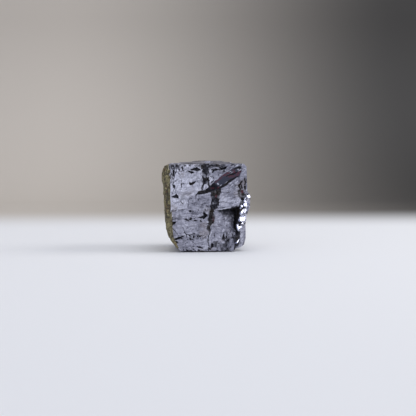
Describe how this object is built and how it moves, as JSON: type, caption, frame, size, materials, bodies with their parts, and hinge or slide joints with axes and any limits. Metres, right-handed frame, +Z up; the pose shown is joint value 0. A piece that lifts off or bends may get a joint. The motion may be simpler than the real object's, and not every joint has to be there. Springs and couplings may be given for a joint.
{
  "type": "galena specimen",
  "caption": "Small blocky galena crystal mass with stepped cubic cleavage, a broken lower corner, a diagonal groove and a thin rind of matrix on one side.",
  "frame": {"origin": "centre of the bounding box in plan, at the foot", "axes": "+Z up from the foot, -Y out of the front cleavage face, -X towards the rind"},
  "size_m": [0.024, 0.02, 0.0245],
  "materials": {
    "galena": "satin",
    "matrix_rind": "matte"
  },
  "bodies": {
    "root": {"galena": "galena", "matrix_rind": "matrix_rind"}
  },
  "joints": []
}
